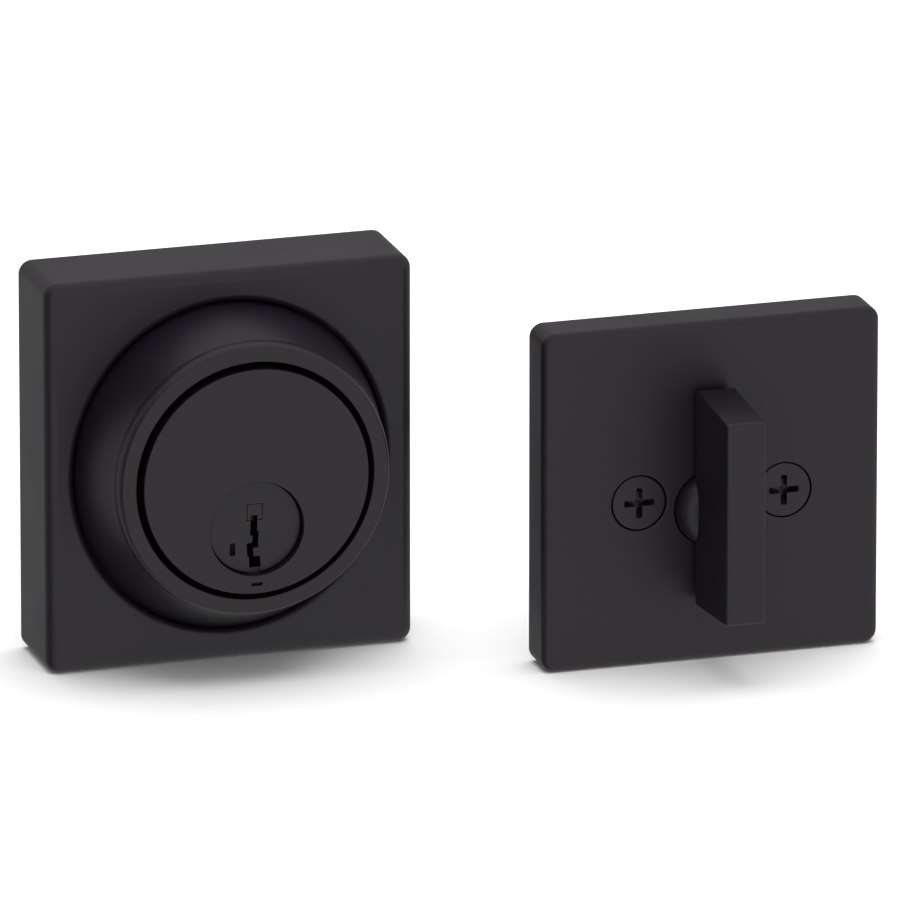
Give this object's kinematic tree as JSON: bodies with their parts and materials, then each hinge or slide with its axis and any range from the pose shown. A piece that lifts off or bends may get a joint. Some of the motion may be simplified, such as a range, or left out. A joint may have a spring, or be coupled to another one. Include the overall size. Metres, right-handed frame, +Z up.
{
  "type": "deadbolt door lock",
  "caption": "Square keyed deadbolt exterior with a flared guard collar, and its square interior plate with a thumbturn and long mounting screws.",
  "frame": {"origin": "under the middle of the pair, on the surface that both halves stand on", "axes": "+X to the right across both fronts, +Y back into the door along the plug's and the thumbturn's axes, +Z up"},
  "size_m": [0.1362, 0.1152, 0.0667],
  "materials": {
    "black_casting": "satin black powder coat on a zinc casting, fine even grain",
    "black_collar": "satin black coat on turned steel",
    "black_cylinder": "satin black coat on a machined zinc face",
    "black_plug": "satin black plated brass, bare at the sliding edges",
    "black_screw": "black oxide steel, satin",
    "plated_steel": "zinc plated pressed steel",
    "bare_zinc": "bare zinc die casting",
    "hardened_steel": "ground hardened steel",
    "spring_steel": "bright spring steel",
    "brass": "machined brass"
  },
  "bodies": {
    "root": {"exterior_rose": "black_casting", "guard_collar": "black_collar", "collar_snap_ring": "spring_steel", "cylinder_housing": "black_cylinder", "backing_plate": "plated_steel", "mounting_post_left": "bare_zinc", "mounting_post_right": "bare_zinc", "drill_guard_pin_left": "hardened_steel", "drill_guard_pin_right": "hardened_steel", "interior_cover": "black_casting", "stiffener_plate": "plated_steel", "wave_washer": "spring_steel", "mounting_screw_left": "black_screw", "mounting_screw_right": "black_screw"},
    "plug": {"plug": "black_plug", "plug_face_insert": "black_plug", "plug_clip": "spring_steel", "spring_cover": "brass", "rack_carriage": "bare_zinc", "sidebar_spring_1": "spring_steel", "sidebar_spring_2": "spring_steel", "pin_spring_1": "spring_steel", "pin_spring_2": "spring_steel", "pin_spring_3": "spring_steel", "pin_spring_4": "spring_steel", "pin_spring_5": "spring_steel"},
    "sidebar": {"sidebar": "hardened_steel"},
    "tail": {"tail_driver": "hardened_steel", "torque_blade": "hardened_steel"},
    "thumbturn": {"thumbturn": "black_casting", "thumbturn_clip": "spring_steel"},
    "tumbler_1": {"key_pin_1": "brass", "rack_1": "brass"},
    "tumbler_2": {"key_pin_2": "brass", "rack_2": "brass"},
    "tumbler_3": {"key_pin_3": "brass", "rack_3": "brass"},
    "tumbler_4": {"key_pin_4": "brass", "rack_4": "brass"},
    "tumbler_5": {"key_pin_5": "brass", "rack_5": "brass"}
  },
  "joints": [
    {"name": "plug_turn", "type": "hinge", "parent": "root", "child": "plug", "pos_m": [-0.03667, -0.018, 0.02705], "axis": [0, 1, 0], "range_deg": [-90, 90]},
    {"name": "tail_lost_motion", "type": "hinge", "parent": "plug", "child": "tail", "pos_m": [-0.03667, -0.003, 0.02705], "axis": [0, 1, 0], "range_deg": [-45, 45]},
    {"name": "sidebar_slide", "type": "slide", "parent": "plug", "child": "sidebar", "axis": [-1, 0, 0], "range_m": [0, 0.00045], "stiffness_N_per_m": 150, "springref_m": 0.0012, "deforming": ["sidebar_spring_1", "sidebar_spring_2"]},
    {"name": "thumbturn_turn", "type": "hinge", "parent": "root", "child": "thumbturn", "pos_m": [0.03902, -0.0391, 0.02615], "axis": [0, 1, 0], "range_deg": [-90, 90]},
    {"name": "tumbler_1_lift", "type": "slide", "parent": "plug", "child": "tumbler_1", "axis": [0, 0, 1], "range_m": [0, 0.0022], "stiffness_N_per_m": 60, "springref_m": -0.002, "deforming": ["pin_spring_1"]},
    {"name": "tumbler_2_lift", "type": "slide", "parent": "plug", "child": "tumbler_2", "axis": [0, 0, 1], "range_m": [0, 0.0022], "stiffness_N_per_m": 60, "springref_m": -0.002, "deforming": ["pin_spring_2"]},
    {"name": "tumbler_3_lift", "type": "slide", "parent": "plug", "child": "tumbler_3", "axis": [0, 0, 1], "range_m": [0, 0.0022], "stiffness_N_per_m": 60, "springref_m": -0.002, "deforming": ["pin_spring_3"]},
    {"name": "tumbler_4_lift", "type": "slide", "parent": "plug", "child": "tumbler_4", "axis": [0, 0, 1], "range_m": [0, 0.0022], "stiffness_N_per_m": 60, "springref_m": -0.002, "deforming": ["pin_spring_4"]},
    {"name": "tumbler_5_lift", "type": "slide", "parent": "plug", "child": "tumbler_5", "axis": [0, 0, 1], "range_m": [0, 0.0022], "stiffness_N_per_m": 60, "springref_m": -0.002, "deforming": ["pin_spring_5"]}
  ]
}
